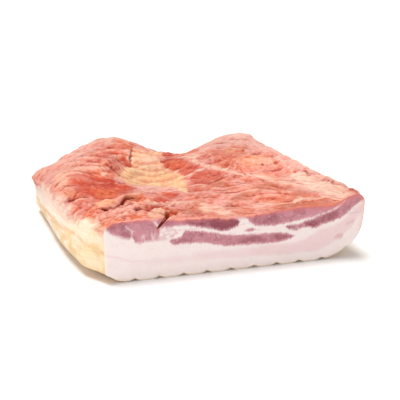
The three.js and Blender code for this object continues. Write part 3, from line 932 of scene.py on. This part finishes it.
# fresh cut, in millimetres: each lean streak has its tips, its upper and lower borders and how dark it is
cutFinish = {
    "span": (260.0, 80.0),  # length and height that the border curves cover
    "pastTips": 1.5,
    "streaks": {
        "upper left": {"tips": [(3, 52), (50, 46)], "dark": (0.4, 0.0), "soft": 2.4,
                       "top": [(4.5, 57), (8, 61), (15, 63), (40, 63), (47, 58)],
                       "bottom": [(5, 50.3), (10, 46.9), (17, 44), (22.5, 42), (24.5, 42.5), (27, 39.8),
                                  (32, 37.6), (40, 38.5), (47, 39)]},
        "upper middle": {"tips": [(47, 51), (126, 48.5)], "dark": (0.3, 1.15),
                         "top": [(50, 60), (54, 64), (95, 64), (102, 58), (108, 56), (115, 54.3),
                                 (120, 52.5), (124, 50.5)],
                         "bottom": [(52, 50), (60, 50), (65, 50.6), (72, 50.2), (80, 49), (90, 46.5),
                                    (100, 43.5), (106, 41.5), (112, 40.8), (117, 41.5), (121, 43.5),
                                    (124.5, 46)]},
        "lower": {"tips": [(60, 36.5), (181, 28.3)], "dark": (0.3, 0.45),
                  "top": [(61.5, 38.3), (66, 39), (70, 39.7), (72.5, 43.5), (76, 45.3), (82, 44.5),
                          (90, 43), (96, 41.2), (104, 38.8), (112, 37.3), (122, 36), (135, 34.8),
                          (150, 34), (162, 34), (170, 32.8), (176, 30.5)],
                  "bottom": [(61.5, 34), (65, 32.5), (72, 32), (82, 31.8), (90, 31), (100, 29),
                             (108, 27), (113, 25.5), (120, 25.2), (135, 24.4), (150, 24), (162, 23.8),
                             (169, 24.2), (175, 26)]},
        "upper right": {"tips": [(127.5, 55.2), (229, 61)], "dark": (0.4, -0.05),
                        "top": [(130, 56.5), (135, 60), (150, 66), (222, 66)],
                        "bottom": [(130, 53.5), (134, 49), (137, 45.3), (141, 43), (150, 42), (160, 41.4),
                                   (170, 42.4), (180, 43.6), (190, 45.2), (200, 47), (210, 49),
                                   (216, 50.6), (221, 53.6), (226, 58)]},
        "far right": {"tips": [(185, 38.2), (251, 60)], "dark": (0.7, 0.15),
                      "top": [(187, 41), (191, 43), (198, 44.9), (205, 47.4), (211, 48.6), (217, 50.2),
                              (221, 52.1), (225, 55.2), (229, 59.4), (232, 63), (240, 68), (249, 68)],
                      "bottom": [(187, 36), (190, 36.3), (194, 36), (198, 34.4), (204, 36), (211, 38),
                                 (220, 39.7), (226, 42), (231, 45.8), (236, 50), (241, 54), (246, 57.2)]},
        "far right's tail": {"tips": [(170.5, 38.5), (190, 39.5)], "dark": (0.7, 0.5), "cover": (-0.4, 0.0),
                             "top": [(172, 40), (178, 40.6), (183, 40), (187, 40.7)],
                             "bottom": [(172, 37), (176, 34.8), (181, 33.6), (187, 35.8)]},
        "spot in the pink": {"tips": [(220.5, 21.5), (231, 26)], "dark": (0.0, 0.0),
                             "cover": (-0.5, 0.3, 0.0, 0.5), "top": [(226, 26.5)], "bottom": [(225, 20)]},
        "upper spot in the pink": {"tips": [(231, 32.5), (241, 40.5)], "dark": (0.0, 0.0),
                                   "cover": (-0.5, 0.3, 0.0, 0.4), "top": [(235, 38.5)],
                                   "bottom": [(237, 34.5)]},
        "mixed": {"tips": [(42, 45), (67, 44)], "dark": (0.0, 0.0), "cover": (-0.25, 0.3),
                  "top": [(47, 50.5), (60, 50)], "bottom": [(47, 38), (60, 39)]},
        "island": {"tips": [(131, 39), (141, 39.3)], "dark": (0.3, 0.3),
                   "top": [(133, 40.4), (136, 41), (139, 40.6)],
                   "bottom": [(133, 37.6), (136, 37), (139, 37.8)]},
    },
    # pink layer and a faint line in the fat under the streaks
    "pinkLayer": {"tips": [(20, 17), (251, 52)],
                  "top": [(40, 20), (100, 22), (140, 21.5), (178, 21.5), (188, 23), (196, 27), (204, 30.5),
                          (211, 33), (220, 35.5), (226, 38), (231, 41.5), (236, 45.5), (244, 53)],
                  "bottom": [(40, 14), (100, 14), (140, 12), (185, 10.5), (203, 11), (211, 13), (219, 18),
                             (228, 23), (236, 30), (244, 42)]},
    "faintLine": [(0, 29), (5, 27.4), (14, 24.2), (23, 21), (32, 19.3), (50, 17.2), (80, 16.8),
                  (110, 16.5)],
    # where white streaks cross the lean
    "streaky": {"tips": [(27, 42), (66, 45)], "top": [(34, 47), (47, 50.5), (60, 49.5)],
                "bottom": [(34, 37), (47, 38), (60, 38)]},
    # white threads of fat in the lean: from, to, width, share
    "threads": [((20, 55), (25.4, 49), 1.7, 0.32), ((25.4, 49), (24.3, 42.5), 1.7, 0.32),
                ((102.5, 40.5), (106, 34), 1.0, 0.3), ((44, 58.5), (48.4, 52.5), 1.8, 0.6)],
    "fat": tone(235, 221, 218), "fatPink": tone(228, 202, 202), "lean": tone(196, 131, 141),
    "leanDark": tone(136, 56, 71), "leanPale": tone(208, 150, 158), "edgePink": tone(228, 168, 160),
    "rim": tone(222, 126, 96), "rimPink": tone(240, 160, 140), "underRim": tone(210, 106, 106),
    "skin": tone(248, 228, 202), "fleck": tone(228, 196, 198), "speck": tone(190, 164, 160),
    "rough": (0.34, 0.5),
    "glow": {"weight": 0.2, "radius": (1.0, 0.5, 0.4), "scale": 0.003},
    "bump": (0.35, 0.0005),
}


def makeCut():
    look = cutFinish
    made, tree, shader = newMaterial("freshCut")
    spot = placeInMillimetres(tree)
    parts = put(tree, "ShaderNodeSeparateXYZ")
    tree.links.new(spot, parts.inputs[0])

    def wobble(sizes, reach, seed):
        moved = put(tree, "ShaderNodeMapping")
        tree.links.new(spot, moved.inputs["Vector"])
        moved.inputs["Location"].default_value = (seed, seed, seed)
        moved.inputs["Scale"].default_value = (1 / sizes[0], 1 / sizes[0], 1 / sizes[1])
        cloud = put(tree, "ShaderNodeTexNoise")
        cloud.inputs["Scale"].default_value = 1.0
        cloud.inputs["Detail"].default_value = 3.0
        tree.links.new(moved.outputs[0], cloud.inputs["Vector"])
        return times(tree, plus(tree, cloud.outputs["Fac"], -0.5), reach)

    along = plus(tree, plus(tree, parts.outputs[0], -float(shift[0])), wobble((7, 7), 3.5, 13.0))
    high = plus(tree, parts.outputs[2], wobble((9, 5), 2.6, 71.0))
    spanX, spanZ = look["span"]
    alongShare = calc(tree, "DIVIDE", along, spanX)

    def height(line):
        made = put(tree, "ShaderNodeFloatCurve")
        spots = [(min(max(a / spanX, 0), 1), min(max(b / spanZ, 0), 1)) for a, b in line]
        curve = made.mapping.curves[0].points
        curve[0].location, curve[1].location = spots[0], spots[-1]
        for one in spots[1:-1]:
            curve.new(*one)
        for one in curve:
            one.handle_type = "AUTO_CLAMPED"
        made.mapping.extend = "HORIZONTAL"
        made.mapping.update()
        tree.links.new(alongShare, made.inputs["Value"])
        return times(tree, made.outputs[0], spanZ)

    # borders cross just beyond the tips, so nothing is drawn past them
    def within(layer):
        (leftX, leftZ), (rightX, rightZ) = layer["tips"]
        past = look["pastTips"]
        top = height([(leftX - past, leftZ - past)] + layer["top"] + [(rightX + past, rightZ - past)])
        bottom = height([(leftX - past, leftZ + past)] + layer["bottom"] + [(rightX + past, rightZ + past)])
        below, above = calc(tree, "SUBTRACT", top, high), calc(tree, "SUBTRACT", high, bottom)
        return calc(tree, "MINIMUM", below, above)

    def thread(start, end, width):
        length = math.dist(start, end)
        dirX, dirZ = (end[0] - start[0]) / length, (end[1] - start[1]) / length
        dx, dz = plus(tree, along, -start[0]), plus(tree, high, -start[1])
        runs = plus(tree, times(tree, dx, dirX), times(tree, dz, dirZ))
        past = calc(tree, "MAXIMUM", calc(tree, "SUBTRACT", 0.0, runs), plus(tree, runs, -length))
        off = calc(tree, "ABSOLUTE", calc(tree, "SUBTRACT", times(tree, dx, dirZ), times(tree, dz, dirX)))
        return ramp(tree, calc(tree, "MAXIMUM", off, past), width, 0.2 * width)

    grain = placeGroup(tree, fibreStreaks, Flow=spot, Length=4.0, Width=1.5, Seed=3.0).outputs[0]
    upright = put(tree, "ShaderNodeCombineXYZ")
    feed(tree, upright.inputs[0], parts.outputs[2])
    feed(tree, upright.inputs[1], parts.outputs[0])
    lines = upright.outputs[0]
    fibres = placeGroup(tree, fibreStreaks, Flow=lines, Length=9.0, Width=1.3, Seed=5.0).outputs[0]
    cloud = placeGroup(tree, mottle, Place=spot, Size=13.0, Speck_Size=2.6)
    specks = placeGroup(tree, mottle, Place=spot, Size=30.0, Speck_Size=1.5).outputs["Speck"]
    fringe = plus(tree, times(tree, plus(tree, fibres, -0.5), 1.1), wobble((3, 3), 2.6, 57.0))

    pinkFade = ramp(tree, along, 20.0, 200.0, 0.3, 1.1)
    pink = times(tree, ramp(tree, within(look["pinkLayer"]), -3.0, 3.0), pinkFade)
    pink = plus(tree, pink, times(tree, plus(tree, cloud.outputs["Blotch"], -0.5), 0.3))
    faintAway = calc(tree, "ABSOLUTE", calc(tree, "SUBTRACT", high, height(look["faintLine"])))
    faint = times(tree, ramp(tree, faintAway, 2.2, 0.2), ramp(tree, along, 110.0, 50.0, 0.0, 0.6))
    colour = blend(tree, calc(tree, "MAXIMUM", pink, faint), look["fat"], look["fatPink"])
    colour = blend(tree, times(tree, specks, 0.16), colour, look["speck"])
    leanGrain = times(tree, plus(tree, plus(tree, grain, times(tree, fibres, 0.5)), -0.75), 0.3)
    leanCover = 0.0
    for streak in look["streaks"].values():
        inside = plus(tree, within(streak), fringe)
        soft = streak.get("soft", 1.4)
        share = ramp(tree, inside, -soft, soft)
        dark = ramp(tree, along, streak["tips"][0][0] + 10, streak["tips"][1][0] - 8, *streak["dark"])
        dark = plus(tree, dark, times(tree, plus(tree, cloud.outputs["Blotch"], -0.5), 0.45))
        dark = plus(tree, dark, leanGrain)
        dark = times(tree, dark, ramp(tree, inside, 0.0, 4.0, 0.5, 1.1))
        leanColour = blend(tree, dark, look["lean"], look["leanDark"])
        leanColour = blend(tree, ramp(tree, inside, 3.0, 0.0, 0.0, 0.4), leanColour, look["leanPale"])
        leanColour = blend(tree, times(tree, cloud.outputs["Speck"], 0.22), leanColour, look["fleck"])
        if "cover" in streak:  # lean and fat mixed
            share = times(tree, share, ramp(tree, wobble((3.4, 4), 1.0, 11.0), *streak["cover"]))
        colour = blend(tree, share, colour, leanColour)
        leanCover = calc(tree, "MAXIMUM", leanCover, share)
    for start, end, width, share in look["threads"]:
        colour = blend(tree, times(tree, thread(start, end, width), share), colour, look["fat"])
    broken = ramp(tree, wobble((4, 8), 1.0, 29.0), -0.06, 0.2)
    streaky = times(tree, ramp(tree, within(look["streaky"]), -2.0, 4.0), broken)
    colour = blend(tree, times(tree, streaky, 0.55), colour, look["fat"])
    rimWander = plus(tree, wobble((5, 5), 4.0, 91.0), wobble((18, 18), 6.0, 19.0))
    rim = plus(tree, painted(tree, "rim"), rimWander)
    rimReach = ramp(tree, along, 150.0, 230.0, 5.0, 8.0)
    colour = blend(tree, times(tree, ramp(tree, rim, rimReach, 1.0), 0.6), colour, look["underRim"])
    rimEnds = calc(tree, "MAXIMUM", ramp(tree, along, 120.0, 180.0), ramp(tree, along, 16.0, 6.0))
    rimColour = blend(tree, rimEnds, look["rimPink"], look["rim"])
    colour = blend(tree, ramp(tree, rim, 2.4, 0.0), colour, rimColour)
    skin = plus(tree, painted(tree, "skin"), wobble((4, 4), 2.0, 23.0))
    colour = blend(tree, ramp(tree, skin, 3.6, 0.2, 0.0, 0.6), colour, look["skin"])
    colour = blend(tree, ramp(tree, along, 241.0, 252.0, 0.0, 0.5), colour, look["edgePink"])
    # painted shade where the notch reaches the cut
    colour = blend(tree, times(tree, painted(tree, "creviceShade"), 0.85), colour, smokedFinish["split"])
    feed(tree, shader.inputs["Base Color"], colour)
    feed(tree, shader.inputs["Roughness"], ramp(tree, grain, 0.0, 1.0, *look["rough"]))
    bumpFrom(tree, shader, plus(tree, grain, times(tree, leanCover, -0.6)), *look["bump"])
    letLightIn(shader, look["glow"])
    return made


mesh.materials.append(makeCut())
mesh.materials.append(makeSmoked())
slots = np.ones(len(quads), dtype=np.int32)
slots[:cutCount] = 0
mesh.polygons.foreach_set("material_index", slots)
mesh.update()
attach(slab, "root")
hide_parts("bacon_slab")
print("materials placed")

# pale floor and soft studio light: sky, a broad light from above, a little behind and to the left,
# and a weak one from the front left
studio = {
    "floor": tone(252, 251, 250), "floorSize": 12, "floorRough": 0.9, "floorGloss": 0.1,
    "sky": (1.0, 0.97, 0.95, 1), "skyStrength": 0.54,
    "sun": {"from": (-0.17, 0.2, 1.0), "strength": 2.55, "spread": 27},
    "front": {"at": (-0.75, -1.2, 0.16), "size": 0.6, "power": 5.6},
}
bpy.ops.mesh.primitive_plane_add(size=studio["floorSize"])
floor = bpy.context.object
floor.name = "paleFloor"
floorLook, _, floorShader = newMaterial("paleFloor")
floorShader.inputs["Base Color"].default_value = studio["floor"]
floorShader.inputs["Roughness"].default_value = studio["floorRough"]
floorShader.inputs["Specular IOR Level"].default_value = studio["floorGloss"]
floor.data.materials.append(floorLook)

world = bpy.data.worlds.new("softSky")
bpy.context.scene.world = world
world.use_nodes = True
world.node_tree.nodes["Background"].inputs["Color"].default_value = studio["sky"]
world.node_tree.nodes["Background"].inputs["Strength"].default_value = studio["skyStrength"]


def placeLamp(name, kind, at):
    data = bpy.data.lights.new(name, kind)
    lamp = bpy.data.objects.new(name, data)
    bpy.context.collection.objects.link(lamp)
    lamp.location = at
    lamp.rotation_euler = (-lamp.location).to_track_quat("-Z", "Y").to_euler()
    return data


highLight = placeLamp("highLight", "SUN", studio["sun"]["from"])
highLight.energy, highLight.angle = studio["sun"]["strength"], math.radians(studio["sun"]["spread"])
frontLight = placeLamp("frontLight", "AREA", studio["front"]["at"])
frontLight.energy, frontLight.size = studio["front"]["power"], studio["front"]["size"]

# the photo's camera: looks 20.6 degrees down, turned 14.6 degrees to the right
view = {"at": (-175.6, -758.6, 317.1), "down": 20.6, "turn": 14.63, "lens": 69.75, "sensor": 36.0}
camera = bpy.data.cameras.new("photoView")
camera.lens, camera.sensor_width = view["lens"], view["sensor"]
eye = bpy.data.objects.new("photoView", camera)
bpy.context.collection.objects.link(eye)
eye.location = [value * mm for value in view["at"]]
eye.rotation_euler = (math.radians(90 - view["down"]), 0, math.radians(-view["turn"]))
bpy.context.scene.camera = eye
bpy.context.scene.view_settings.view_transform = "Standard"
